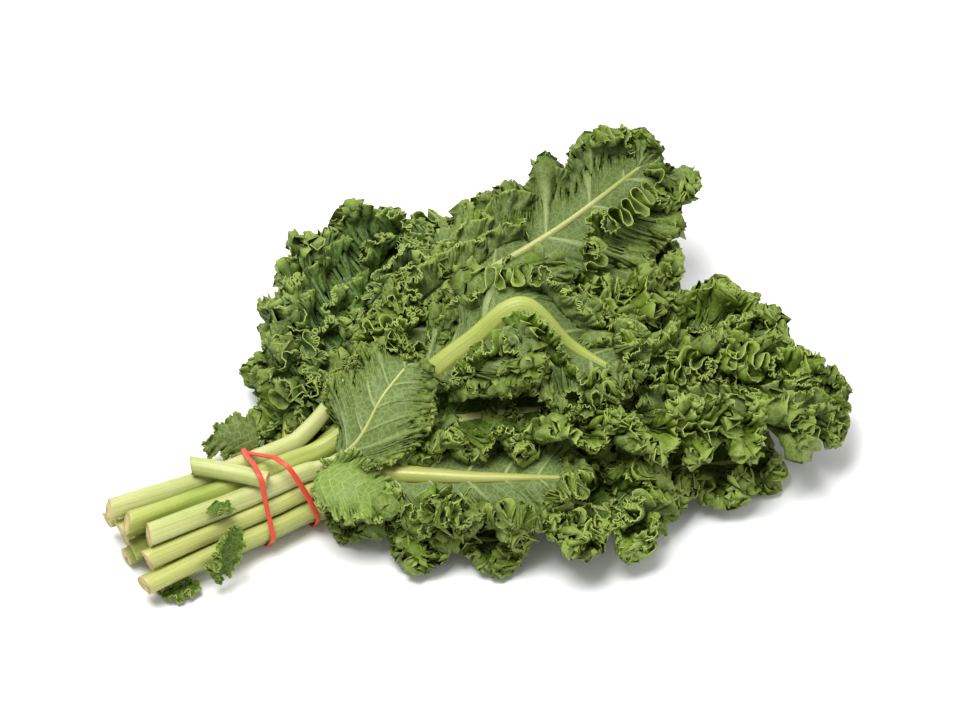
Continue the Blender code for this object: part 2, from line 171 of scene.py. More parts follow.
# The snapped stalk, as in the solids
SNAPPED_ENDS = ((-0.1545, 0.0117, 0.0500), (-0.1225, -0.0195, 0.0500))
SNAPPED_RADIUS = 0.0052

# The rubber band, as in the solids
BAND_WIDTH = 0.0030
BAND_THICKNESS = 0.0011
BAND_PARTING = 0.0150
BAND_LEAN = 0.0085
BAND_LIFT = 0.0008
BAND_CROSSING = math.radians(55)
BAND_CLEARANCE = 0.0014
BAND_STATIONS = 360
BAND_SECTION = 14

# ends and middle of each scrap's midline, the way its width runs, its half width, the length of its folds,
# how far it is cupped, and its seed
Scrap = namedtuple("Scrap", "start middle tip across half_width fold cup seed")
SCRAPS = {
    "small_leaf": Scrap((-0.097, -0.030, 0.047), (-0.084, -0.047, 0.050), (-0.069, -0.062, 0.041),
                        (0.72, 0.62, 0.30), 0.0215, 0.013, -0.20, 501),
    "scrap_hanging": Scrap((-0.152, -0.035, 0.042), (-0.159, -0.039, 0.027), (-0.164, -0.0405, 0.012),
                           (1.0, 0.0, 0.0), 0.010, 0.009, 0.3, 502),
    "scrap_low": Scrap((-0.198, -0.032, 0.006), (-0.187, -0.0335, 0.0045), (-0.176, -0.035, 0.006),
                       (0.0, 1.0, 0.0), 0.006, 0.007, 0.2, 503),
    "scrap_far": Scrap((-0.103, 0.034, 0.018), (-0.115, 0.043, 0.025), (-0.128, 0.051, 0.020),
                       (0.60, 0.20, 0.78), 0.016, 0.009, 0.3, 504),
    "scrap_top": Scrap((-0.160, -0.020, 0.0462), (-0.154, -0.0225, 0.047), (-0.148, -0.026, 0.0455),
                       (0.30, 1.0, 0.0), 0.0045, 0.007, 0.2, 505),
}
SCRAP_FIELD = (2600, 36)  # points that a scrap's folds are worked out on
SCRAP_COLUMNS_PER_METRE = 9000
SCRAP_LOBE_LENGTH = 0.013
SCRAP_VEINS = 5.0
SCRAP_VEIN_HEIGHT = 0.0004
SCRAP_CURL = 0.42  # length of its curls, to that of its folds

# half widths to the left and right of the midrib, how far the sides bend towards the upper face (radians),
# whether the pale back faces up, the roll about the midrib (degrees, left side up), how much of the
# blade from the midrib out lies smooth, strength of the large waves, and its seed, the leaf's number
Look = namedtuple("Look", "left right bend back_up roll smooth waves seed")
LOOKS = dict(zip(LEAVES, (
    Look(0.048, 0.022, 0.9, False, 0, 0.22, 0.9, 1),
    Look(0.058, 0.040, 0.8, False, 0, 0.22, 0.9, 2),
    Look(0.058, 0.058, 0.8, False, 0, 0.22, 0.9, 3),
    Look(0.041, 0.060, 0.8, False, 0, 0.22, 0.9, 4),
    Look(0.030, 0.013, 0.9, False, 0, 0.20, 0.9, 5),
    Look(0.052, 0.046, 0.9, False, 0, 0.20, 1.2, 6),
    Look(0.044, 0.056, 0.9, False, 0, 0.18, 1.2, 7),
    Look(0.064, 0.056, 0.9, False, 0, 0.18, 1.2, 8),
    Look(0.026, 0.048, 0.9, False, 0, 0.20, 1.0, 9),
    Look(0.048, 0.034, 0.3, True, 0, 0.46, 0.9, 10),
    Look(0.046, 0.054, 1.1, False, 0, 0.16, 1.3, 11),
    Look(0.054, 0.056, 1.1, False, 0, 0.16, 1.3, 12),
    Look(0.064, 0.060, 1.1, False, 0, 0.16, 1.3, 13),
    Look(0.042, 0.038, 0.2, True, 0, 0.60, 0.7, 14),
    Look(0.046, 0.048, 0.6, True, 0, 0.26, 1.2, 15),
    Look(0.043, 0.060, 0.3, True, 18, 0.30, 1.3, 16),
)))

VEIN = (0.22, 0.29, 0.085)
BACK_VEIN = (0.31, 0.37, 0.15)


def smoothstep(value):
    """Ease from 0 to 1."""
    value = np.clip(value, 0.0, 1.0)
    return value * value * (3.0 - 2.0 * value)


def unit(vectors):
    """The same vectors at length 1."""
    return vectors / np.maximum(np.linalg.norm(vectors, axis=-1, keepdims=True), 1e-12)


def run_up(steps):
    """Length of a line up to each of its points, from the lengths of its steps."""
    return np.concatenate(([0.0], np.cumsum(steps)))


def lengths(line):
    """Length of a line up to each of its points."""
    return run_up(np.linalg.norm(np.diff(line, axis=0), axis=1))


def bundle_place(leaf):
    """Where a leaf's stalk lies across the bundle."""
    return BUNDLE_Y + STALK_PITCH * (leaf.place - (ROW_COUNTS[leaf.row] - 1) / 2)


def row_height(row, x):
    """Height of a row of stalks, which opens out towards the cut ends."""
    grip = FIRST_ROW_Z + ROW_RISE * row
    cut = CUT_ROW_Z + CUT_ROW_RISE * row
    share = np.clip((GRIP_START - x) / (GRIP_START - CUT_PLANE), 0.0, 1.2)
    return grip + (cut - grip) * share


def layer_height(row, x, y):
    """Height of a layer of leaves over any point of the surface."""
    along = (x - HEAP_CENTRE[0]) / HEAP_REACH[0]
    across = (y - HEAP_CENTRE[1]) / HEAP_REACH[1]
    dome = np.clip(1.0 - along**2 - across**2, 0.0, 1.0)
    layer = LAYER_EDGE[row] + (LAYER_MIDDLE[row] - LAYER_EDGE[row]) * dome
    away = np.hypot(np.maximum(x - GRIP_END, 0.0), y - BUNDLE_Y)
    share = smoothstep(away / LAYER_BLEND) * smoothstep((x - GRIP_END) / 0.012)
    return row_height(row, x) * (1.0 - share) + layer * share


def smooth_route(points):
    """Dense points of a smooth curve through the points, with the plan length up to each."""
    points = np.array(points, dtype=float)
    knots = lengths(points[:, :2])
    slopes = np.gradient(points, knots, axis=0)
    fine = np.linspace(0.0, knots[-1], 600)
    cell = np.clip(np.searchsorted(knots, fine, side="right") - 1, 0, len(knots) - 2)
    span = (knots[cell + 1] - knots[cell])[:, None]
    t = (fine - knots[cell])[:, None] / span
    curve = (2 * t**3 - 3 * t**2 + 1) * points[cell] + (3 * t**2 - 2 * t**3) * points[cell + 1]
    curve += (t**3 - 2 * t**2 + t) * slopes[cell] * span + (t**3 - t**2) * slopes[cell + 1] * span
    return curve, lengths(curve[:, :2])


def leaf_line(leaf):
    """The midline of a leaf, its plan length up to each point, and where grip ends and blade starts."""
    place = bundle_place(leaf)
    cut_place = BUNDLE_Y + (place - BUNDLE_Y) * CUT_SPREAD
    start = ((leaf.cut, cut_place, 0.0), (GRIP_START, place, 0.0), (BAND_X, place, 0.0),
             (GRIP_END, place, 0.0))
    line, length = smooth_route(start + leaf.route)
    line[:, 2] += layer_height(leaf.row, line[:, 0], line[:, 1])
    grip_end = length[np.argmin(np.abs(line[:, 0] - GRIP_END))]
    return line, length, grip_end, grip_end + leaf.bare


def at_length(line, length, distances):
    """Points of a line at the given distances from its start."""
    return np.stack([np.interp(distances, length, line[:, k]) for k in range(line.shape[1])], axis=-1)


def heading_at(line, length, distances, step):
    """Directions of a line at the given distances from its start."""
    return unit(at_length(line, length, distances + step) - at_length(line, length, distances - step))


def rolled(left, up, roll):
    """Two directions turned about the line that they stand on."""
    cos, sin = np.cos(roll)[..., None], np.sin(roll)[..., None]
    return left * cos + up * sin, up * cos - left * sin


def line_frame(line, length, distances, roll):
    """Point, heading, left and up of a line at the given distances, turned by a roll in radians."""
    point = at_length(line, length, distances)
    heading = heading_at(line, length, distances, STEP)
    left = unit(np.cross((0.0, 0.0, 1.0), heading))
    up = np.cross(heading, left)
    return point, heading, *rolled(left, up, roll)


def wander(rng, positions, spacing):
    """Smooth random values of about -1 to 1 along a line."""
    knots = rng.uniform(-1.0, 1.0, int(positions.max() / spacing) + 4)
    place = positions / spacing
    cell = np.floor(place).astype(int)
    share = smoothstep(place - cell)
    return knots[cell] * (1.0 - share) + knots[cell + 1] * share


def ruffle(sheet, out, rng, wavelength, strength, irregular, calm=1.0):
    """Fold a sheet into waves that run out to its margin; the sides of strong waves overhang."""
    step = np.gradient(sheet, axis=0)
    size = np.linalg.norm(step, axis=2)
    along = step / np.maximum(size, 1e-9)[..., None]
    normal = unit(np.cross(along, unit(np.gradient(sheet, axis=1))))
    margin = run_up(size[1:, -1])
    phase = 2.0 * math.pi * margin / wavelength
    phase = phase + irregular * 1.6 * wander(rng, margin, wavelength * 1.3)
    power = calm * (1.0 + irregular * 0.55 * wander(rng, margin, wavelength * 2.1))
    lean = irregular * 2.4 * wander(rng, margin, wavelength * 2.7)
    bow = irregular * 1.5 * wander(rng, margin, wavelength * 1.9)
    turn = np.clip(strength[None, :] * power[:, None], 0.0, STEEPEST_TURN)
    phase = phase[:, None] + lean[:, None] * (1.0 - out[None, :]) + bow[:, None] * np.sin(7.0 * out[None, :])
    # Bessel functions of the turn, as series: the rise and slide of a line whose heading swings that far
    j0 = 1.0 - turn**2 / 4 + turn**4 / 64 - turn**6 / 2304
    j1 = turn / 2 - turn**3 / 16 + turn**5 / 384 - turn**7 / 18432
    j2 = turn**2 / 8 - turn**4 / 96 + turn**6 / 3072
    scale = wavelength / (2.0 * math.pi) * np.minimum(size / np.maximum(size[:, -1:], 1e-9), 1.15)
    rise = scale * 2.0 * j1 / j0 * np.cos(phase)
    slide = scale * j2 / j0 * np.sin(2.0 * phase)
    return sheet + normal * rise[..., None] + along * slide[..., None]


def outline(long, left, right, rng, lobe, counts):
    """A blade laid flat, round its outline and from midrib to margin, and its length round."""
    round_it = np.linspace(-1.0, 1.0, counts[0])
    out = np.linspace(0.0, 1.0, counts[1])
    v = np.abs(round_it)
    half = np.where(round_it < 0.0, left, right)
    margin_x = long * (MARGIN_START + (1.0 - MARGIN_START) * (1.0 + np.cos(math.pi * v)) / 2.0)
    belly = np.sin(math.pi * np.clip(v, 0.0, 1.0) ** FULLEST) ** ROUNDNESS
    margin_w = half * belly
    order = np.argsort(v, kind="stable")
    root_x = np.clip(margin_x - VEIN_SLANT * (left + right) * belly, 0.0, LAST_VEIN * long)
    root_x[order] = np.minimum.accumulate(root_x[order])
    root_x = (root_x + root_x[::-1]) / 2.0
    steps = np.hypot(np.diff(margin_x), np.diff(margin_w * np.sign(round_it)))
    edge = run_up(steps)
    phase = 2.0 * math.pi * edge / lobe + 2.0 * wander(rng, edge, lobe * 1.25)
    lobes = 1.0 - LOBE_DEPTH * (0.5 + 0.5 * np.cos(phase))
    lobes *= 1.0 + 0.10 * wander(rng, edge, lobe * 0.55)
    phase = 2.0 * math.pi * edge / TOOTH_LENGTH + 3.0 * wander(rng, edge, 2.5 * TOOTH_LENGTH)
    teeth = TOOTH_HEIGHT * np.sin(phase)
    reach = out[None, :] * (lobes[:, None] + teeth[:, None] * smoothstep((out - 0.82) / 0.18)[None, :])
    x = root_x[:, None] + (margin_x - root_x)[:, None] * reach
    w = margin_w[:, None] * reach
    return round_it, out, v, half, x, w, edge[-1]


def vein_ridges(sheet, v, out, back, count, height):
    """Raise the side veins on the back of a sheet."""
    vein = np.abs((v[:, None] * count + 0.25) % 1.0 - 0.5)
    apart = vein / count * np.linalg.norm(np.gradient(sheet, axis=0), axis=2) * len(v) / 2.0
    ridge = np.exp(-((apart / VEIN_WIDTH) ** 2)) * height * (1.0 - out) * smoothstep(out * 6.0)
    pocket = smoothstep(1.0 - np.abs(apart) / POCKET_REACH) * height * POCKET_HEIGHT
    pocket = pocket * smoothstep(out * 4.0) * (1.0 - out)
    normal = unit(np.cross(np.gradient(sheet, axis=0), np.gradient(sheet, axis=1)))
    return sheet + normal * ((ridge + pocket) * back)[..., None]


def blade_field(leaf, look, folding):
    """The folded blade, without its small folds too, its way up along the midrib, and places round it."""
    rng = np.random.default_rng(look.seed)
    line, length, _, start = leaf_line(leaf)
    long = length[-1] - start
    round_it, out, v, half, x, w, round_length = outline(long, look.left, look.right, rng, LOBE_LENGTH, FIELD)

    bend = look.bend * (-1.0 if look.back_up else 1.0)
    radius = half[:, None] / max(abs(bend), 0.05) * math.copysign(1.0, bend)
    side = radius * np.sin(w / radius)
    rise = radius * (1.0 - np.cos(w / radius))
    distances = start + x
    middle = at_length(line, length, distances)
    heading = heading_at(line, length, distances, STEP)
    left_x, left_y = -heading[..., 1] * SLOPE_REACH, heading[..., 0] * SLOPE_REACH
    fall = layer_height(leaf.row, middle[..., 0] + left_x, middle[..., 1] + left_y)
    fall = fall - layer_height(leaf.row, middle[..., 0] - left_x, middle[..., 1] - left_y)
    roll = np.arctan2(fall, 2.0 * SLOPE_REACH) * SLOPE_SHARE
    roll = roll + math.radians(look.roll) * smoothstep(x / long / 0.5)
    point, heading, left, up = line_frame(line, length, distances, roll)
    over = np.maximum(distances - length[-1], 0.0)
    sign = np.where(round_it < 0.0, 1.0, -1.0)[:, None]
    sheet = point + left * (side * sign)[..., None] + up * rise[..., None] + heading * over[..., None]
    height = BACK_VEIN_HEIGHT if look.back_up else VEIN_HEIGHT
    sheet = vein_ridges(sheet, v, out, 1.0 if look.back_up else -1.0, SIDE_VEINS, height)

    smooth = look.smooth
    waves = look.waves * np.clip(out - smooth * 0.4, 0.0, 1.0) ** 0.9
    sheet = ruffle(sheet, out, rng, LARGE_WAVE, waves, 0.6)
    plain = sheet
    calm = 0.15 + 0.85 * smoothstep((0.92 - v) / 0.30) if look.back_up else 1.0
    strength = folding * smoothstep((out - smooth) / (1.0 - smooth) * 1.15)
    sheet = ruffle(sheet, out, rng, FOLD_WAVE, strength, 1.0, calm)
    sheet = ruffle(sheet, out, rng, CURL_WAVE, CURL_TURN * smoothstep((out - 0.64) / 0.26), 1.0, calm)
    return sheet, plain, up[:, 0], v, round_length


def frill_field(plain, root, height, lean, start, end, rng):
    """A fold of the blade that stands up along a line round it, frilled to its crest."""
    count = int((FIELD[0] - 1) * (end - start))
    along = np.linspace(0.0, 1.0, count)
    travel = np.linspace(0.0, FRILL_SPAN * (end - start), count)
    column = np.arange(count) + int((FIELD[0] - 1) * start)
    place = np.clip(root + 0.12 * wander(rng, travel, 0.030), 0.05, 0.95) * (FIELD[1] - 1)
    cell = place.astype(int)
    share = (place - cell)[:, None]
    base = plain[column, cell] * (1.0 - share) + plain[column, cell + 1] * share
    out_way = unit(plain[column, cell + 1] - plain[column, cell])
    along_way = unit(np.gradient(base, axis=0))
    up_way = unit(np.cross(along_way, out_way))
    soft = np.hanning(FRILL_SOFTENING) / np.hanning(FRILL_SOFTENING).sum()
    for vectors in (base, out_way, up_way):
        for k in range(3):
            padded = np.pad(vectors[:, k], FRILL_SOFTENING // 2, mode="edge")
            vectors[:, k] = np.convolve(padded, soft, mode="valid")
    angle = lean + 0.7 * wander(rng, travel, 0.040)
    way = unit(up_way * np.cos(angle)[:, None] + out_way * np.sin(angle)[:, None])
    tall = height * (1.0 + 0.35 * wander(rng, travel, 0.03))
    tall = tall * smoothstep(along / 0.05) * smoothstep((1.0 - along) / 0.05)
    out = np.linspace(0.0, 1.0, FRILL_POINTS)
    rise = (way * tall[:, None])[:, None, :] * out[None, :, None]
    field = base[:, None, :] - way[:, None, :] * FRILL_SINK + rise
    field = ruffle(field, out, rng, FOLD_WAVE, FOLD_TURN * smoothstep(out * 1.3), 1.0)
    return ruffle(field, out, rng, CURL_WAVE, CURL_TURN * smoothstep((out - 0.30) / 0.50), 1.0)


def keep_inside(points):
    """Press stray folds back over the surface and inside the heap's outline."""
    low = LOW_Z + PRESS_HEIGHT
    z = points[..., 2]
    points[..., 2] = np.where(z < low, LOW_Z + PRESS_HEIGHT * np.exp((z - low) / PRESS_WAY), z)
    for k, (lowest, highest) in enumerate(zip(BOX_LOW, BOX_HIGH)):
        side = points[..., k]
        over = side - (highest - BOX_WAY)
        side = np.where(over > 0.0, highest - BOX_WAY * np.exp(-over / BOX_WAY), side)
        if k < 2:
            under = (lowest + BOX_WAY) - side
            side = np.where(under > 0.0, lowest + BOX_WAY * np.exp(-under / BOX_WAY), side)
        points[..., k] = side
    return points


def add_piece(name, mesh, skins, node):
    """Put a finished mesh in the scene in place of a solid."""
    for skin in skins:
        mesh.materials.append(skin)
    piece = bpy.data.objects.new(name, mesh)
    bpy.context.scene.collection.objects.link(piece)
    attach(piece, "root")
    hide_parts(node)
    return piece


def sample(values, place_u, place_t):
    """Values of a field at fractional places."""
    u0 = np.minimum(place_u.astype(int), values.shape[0] - 2)
    t0 = np.minimum(place_t.astype(int), values.shape[1] - 2)
    fu, ft = place_u - u0, place_t - t0
    if values.ndim == 3:
        fu, ft = fu[:, None], ft[:, None]
    near = values[u0, t0] * (1 - ft) + values[u0, t0 + 1] * ft
    far = values[u0 + 1, t0] * (1 - ft) + values[u0 + 1, t0 + 1] * ft
    return near * (1 - fu) + far * fu


def grid_mesh(name, columns, levels):
    """A grid of columns by levels cells, with the whole column and level of each of its points."""
    bm = bmesh.new()
    bmesh.ops.create_grid(bm, x_segments=columns, y_segments=levels, size=1.0)
    mesh = bpy.data.meshes.new(name)
    bm.to_mesh(mesh)
    bm.free()
    flat = np.empty(len(mesh.vertices) * 3)
    mesh.vertices.foreach_get("co", flat)
    flat = flat.reshape(-1, 3)
    column = np.rint((flat[:, 0] + 1.0) / 2.0 * columns).astype(int)
    level = np.rint((flat[:, 1] + 1.0) / 2.0 * levels).astype(int)
    corner = np.empty(len(mesh.loops), dtype=np.int32)
    mesh.loops.foreach_get("vertex_index", corner)
    mesh.polygons.foreach_set("use_smooth", np.ones(len(mesh.polygons), dtype=bool))
    return mesh, column, level, corner


def lowest_of_face(values, corner):
    """The lowest value at the four corners of each face."""
    return values[corner].reshape(-1, 4).min(axis=1)


def set_map(mesh, name, across, along):
    """Give a mesh a UV map from its corners' values."""
    layer = mesh.uv_layers.get(name) or mesh.uv_layers.new(name=name)
    layer.data.foreach_set("uv", np.stack((across, along), axis=1).ravel())


def bake_map(mesh, column, level, corner, columns, levels, strips, low, high):
    """Lay the grid out in stacked strips between two heights of the bake map."""
    long = columns // strips
    strip = np.repeat(np.minimum(lowest_of_face(column, corner) // long, strips - 1), 4)
    across = 0.004 + 0.992 * (column[corner] - strip * long) / long
    tall = (high - low) / strips
    along = low + strip * tall + tall * (0.04 + 0.92 * level[corner] / levels)
    set_map(mesh, "OFBake", across, along)


def skin_mesh(name, field, root_way, rows, columns, back_up, around, bake):
    """A folded field as one closed skin: its upper face, its rim and its back from one wrapped grid."""
    field = keep_inside(field)
    normal = unit(np.cross(np.gradient(field, axis=0), np.gradient(field, axis=1)))
    normal[:, 0] = root_way
    shares = np.array([row[0] for row in rows])
    strides = np.array([row[1] for row in rows])
    count = len(rows)
    mesh, column, level, corner = grid_mesh(name, columns, 2 * count - 1)
    under = level < count
    ring = np.where(under, level, 2 * count - 1 - level)
    kept = column // strides[ring] * strides[ring]
    place_u = kept / columns * (field.shape[0] - 1)
    place_t = shares[ring] * (field.shape[1] - 1)
    half = np.where(under, -0.5, 0.5) * BLADE_THICKNESS
    middle = sample(field, place_u, place_t)
    points = middle + unit(sample(normal, place_u, place_t)) * half[:, None]
    if not np.any(root_way):
        points = np.where((ring == 0)[:, None], middle, points)
    mesh.vertices.foreach_set("co", points.ravel())
    set_map(mesh, "leaf_grain", sample(around, place_u, place_t)[corner], shares[ring][corner])
    bake_map(mesh, column, level, corner, columns, 2 * count - 1, *bake)
    first = lowest_of_face(level, corner)
    upper, lower = (1, 0) if back_up else (0, 1)
    slots = np.where(first >= count, upper, np.where(first < count - 1, lower, 2))
    mesh.polygons.foreach_set("material_index", slots.astype(np.int32))
    return mesh


def joined(meshes, name, skins, node):
    """Weld meshes into one piece, facing outwards, and put it in the scene."""
    bm = bmesh.new()
    for mesh in meshes:
        bm.from_mesh(mesh)
    bmesh.ops.remove_doubles(bm, verts=bm.verts, dist=1e-6)
    bmesh.ops.holes_fill(bm, edges=[edge for edge in bm.edges if edge.is_boundary], sides=0)
    bmesh.ops.recalc_face_normals(bm, faces=bm.faces)
    bm.to_mesh(meshes[0])
    bm.free()
    for mesh in meshes[1:]:
        bpy.data.meshes.remove(mesh)
    return add_piece(name, meshes[0], skins, node)


def blade_piece(name, leaf, look, skins):
    """The whole blade of a leaf, with the folds that stand up from it."""
    sheet, plain, up, v, round_length = blade_field(leaf, look, GENTLER_FOLDS.get(name, FOLD_TURN))
    around = np.repeat(v[:, None], FIELD[1], axis=1)
    frills = FRILLS.get(name, ())
    share = 1.0 / (1.0 + FRILL_SHARE * len(frills))
    columns = int(round_length * COLUMNS_PER_METRE / 16) * 16
    bake = (4, 0.0, share)
    meshes = [skin_mesh(name, sheet, up, ROWS, columns, look.back_up, around, bake)]
    rng = np.random.default_rng(100 + look.seed)
    for number, (root, height, lean, start, end) in enumerate(frills):
        field = frill_field(plain, root, height, lean, start, end, rng)
        low = 1.0 + FRILL_SHARE * number
        bake = (4, share * low, share * (low + FRILL_SHARE))
        around = np.full(field.shape[:2], BETWEEN_VEINS)
        root_way = np.zeros((len(field), 3))
        wide = int(FRILL_COLUMNS * (end - start) / 16) * 16
        meshes.append(skin_mesh(name, field, root_way, FRILL_ROWS, wide, look.back_up, around, bake))
    return joined(meshes, name + "_blade", skins, name)


def tube_piece(name, centres, left, up, shape, cut_ends, skins, node):
    """A closed tube of rings round a line; shape gives each ring's points as (left, up) pairs."""
    stations, ring = shape.shape[:2]
    mesh, station, turn, corner = grid_mesh(name, stations - 1, ring)
    offset = shape[station, turn % ring]
    points = centres[station] + left[station] * offset[:, :1] + up[station] * offset[:, 1:]
    mesh.vertices.foreach_set("co", points.ravel())
    first_line = centres + left * shape[:, 0, :1] + up * shape[:, 0, 1:]
    length = lengths(first_line)
    set_map(mesh, "stalk_grain", length[station[corner]] * 10.0, turn[corner] / ring)
    bake_map(mesh, station, turn, corner, stations - 1, ring, 1, 0.0, 1.0)
    first = lowest_of_face(station, corner)
    last_face = len(CUT_RINGS) - 3
    ends = first <= last_face
    if cut_ends == 2:
        ends |= first >= stations - 2 - last_face
    mesh.polygons.foreach_set("material_index", ends.astype(np.int32))
    return joined([mesh], name, skins, node)


def with_cut_face(shape, centres, left, up, heading, rng):
    """Close the start of a tube with a slightly sunken, sloping, cut face."""
    slope = rng.uniform(-0.30, 0.30, 2)
    sizes = np.array([size for size, depth in CUT_RINGS])
    depths = np.array([depth for size, depth in CUT_RINGS])
    rings = shape[0][None] * sizes[:, None, None]
    rings = rings * (1.0 + 0.05 * rng.uniform(-1.0, 1.0, rings.shape[:2]))[..., None]
    middles = centres[0] + heading[0] * depths[:, None]
    lefts = np.repeat((left[0] + heading[0] * slope[0])[None], len(sizes), axis=0)
    ups = np.repeat((up[0] + heading[0] * slope[1])[None], len(sizes), axis=0)
    return (np.concatenate((rings, shape[1:])), np.concatenate((middles, centres[1:])),
            np.concatenate((lefts, left[1:])), np.concatenate((ups, up[1:])))


def ribbed_ring(radius, rng, groove):
    """Rings of a stalk: broad facets, fine ridges along its length, and a shallow groove above."""
    angle = np.linspace(0.0, 2.0 * math.pi, RING + 1)[:-1][None, :]
    shift = rng.uniform(0.0, 6.0, 4)
    size = 1.0 + 0.050 * np.cos(2 * angle + shift[0]) + 0.045 * np.cos(3 * angle + shift[1])
    size += 0.026 * np.cos(5 * angle + shift[2]) + 0.012 * np.cos(11 * angle + shift[3])
    size = size - groove * np.exp(-(((angle - math.pi / 2) / 0.45) ** 2))
    size = np.repeat(size, len(radius), axis=0)
    return np.stack((np.cos(angle) * size, np.sin(angle) * size), axis=2) * radius[:, None, None]


def turned(shape, angle):
    """Rings turned about their line."""
    cos, sin = np.cos(angle)[:, None], np.sin(angle)[:, None]
    across, tall = shape[..., 0], shape[..., 1]
    return np.stack((across * cos - tall * sin, across * sin + tall * cos), axis=2)


def stalk_piece(name, leaf, look, skins):
    """The stalk of a leaf with its midrib, tapering out along the blade."""
    line, length, grip_end, start = leaf_line(leaf)
    total = length[-1]
    distances = np.concatenate((np.linspace(0.0, start, 60)[:-1], np.linspace(start, total * 0.955, 80)))
    point, heading, left, up = line_frame(line, length, distances, np.zeros(len(distances)))
    rng = np.random.default_rng(300 + look.seed)
    thick = RIB_RADIUS * RIB_SIZE.get(name, 1.0)
    knots = (0.0, grip_end, start, start + 0.45 * (total - start), total)
    cut_size = CUT_RADIUS * rng.uniform(0.84, 1.04)
    middle_size = thick * RIB_HOLD.get(name, 0.62)
    radius = np.interp(distances, knots, (cut_size, GRIP_RADIUS, thick, middle_size, TIP_RADIUS))
    radius *= 1.0 + 0.03 * wander(rng, distances, 0.03)
    blade = smoothstep((distances - start) / 0.02)[:, None]
    twist = rng.uniform(-1.2, 1.2) * (1.0 - smoothstep(distances / grip_end))
    twist = twist + (math.pi if look.back_up else 0.0)
    shape = turned(ribbed_ring(radius, rng, 0.10), twist)
    back = 1.0 if look.back_up else -1.0
    shape[..., 1] = np.where(shape[..., 1] * back < 0.0, shape[..., 1] * (1.0 - 0.6 * blade), shape[..., 1])
    point = point + up * (back * 0.10 * radius[:, None] * blade)
    point[:, 2] = np.maximum(point[:, 2], LOW_Z + np.abs(shape[..., 1]).max(axis=1))
    shape, point, left, up = with_cut_face(shape, point, left, up, heading, rng)
    tube_piece(name + "_stalk", point, left, up, shape, 1, skins, name)


def snapped_stalk_piece(skins):
    """The short length of stalk under the band, cut at both ends."""
    start, end = (np.array(point) for point in SNAPPED_ENDS)
    rng = np.random.default_rng(400)
    share = np.linspace(0.0, 1.0, 44)
    heading = unit(end - start)
    bow = 0.0008 * np.sin(math.pi * share)
    left = unit(np.cross((0.0, 0.0, 1.0), heading))
    up = np.cross(heading, left)
    point = start + (end - start) * share[:, None] + left * bow[:, None]
    headings, lefts, ups = (np.repeat(way[None], len(share), axis=0) for way in (heading, left, up))
    radius = SNAPPED_RADIUS * (1.0 - 0.07 * share) * (1.0 + 0.02 * wander(rng, share, 0.2))
    shape = ribbed_ring(radius, rng, 0.12)
    shape, point, lefts, ups = with_cut_face(shape, point, lefts, ups, headings, rng)
    headings = -np.repeat(heading[None], len(point), axis=0)
    flipped = (part[::-1] for part in (shape, point, lefts, ups))
    shape, point, lefts, ups = with_cut_face(*flipped, headings, rng)
    tube_piece("snapped_stalk_look", point, lefts, ups, shape, 2, skins, "snapped_stalk")


def girth(count):
    """Points of the tight line round the stalks and the snapped stalk, as (y, z), with outward normals."""
    discs = []
    for leaf in LEAVES.values():
        discs.append((bundle_place(leaf), FIRST_ROW_Z + ROW_RISE * leaf.row, GRIP_RADIUS + 0.0001))
    start, end = SNAPPED_ENDS
    share = (BAND_X - 0.006 - start[0]) / (end[0] - start[0])
    crossing = start[1] + (end[1] - start[1]) * share
    discs.append((crossing - 0.0025, start[2], SNAPPED_RADIUS))
    discs.append((crossing + 0.0025, start[2], SNAPPED_RADIUS))
    discs = np.array(discs)
    turn = np.linspace(0.0, 2.0 * math.pi, 2881)
    outward = np.stack((np.cos(turn), np.sin(turn)), axis=1)
    reach = discs[:, :2] @ outward.T + discs[:, 2:3]
    nearest = np.argmax(reach, axis=0)
    line = discs[nearest, :2] + outward * (discs[nearest, 2:3] + BAND_CLEARANCE)
    length = lengths(line)
    start_at = np.interp(BAND_CROSSING, turn, length)
    even = (start_at + np.linspace(0.0, length[-1], count + 1)[:-1]) % length[-1]
    points = np.stack([np.interp(even, length, line[:, k]) for k in range(2)], axis=1)
    chord = np.roll(points, -4, axis=0) - np.roll(points, 4, axis=0)
    normals = np.stack((chord[:, 1], -chord[:, 0]), axis=1)
    return points, unit(normals)


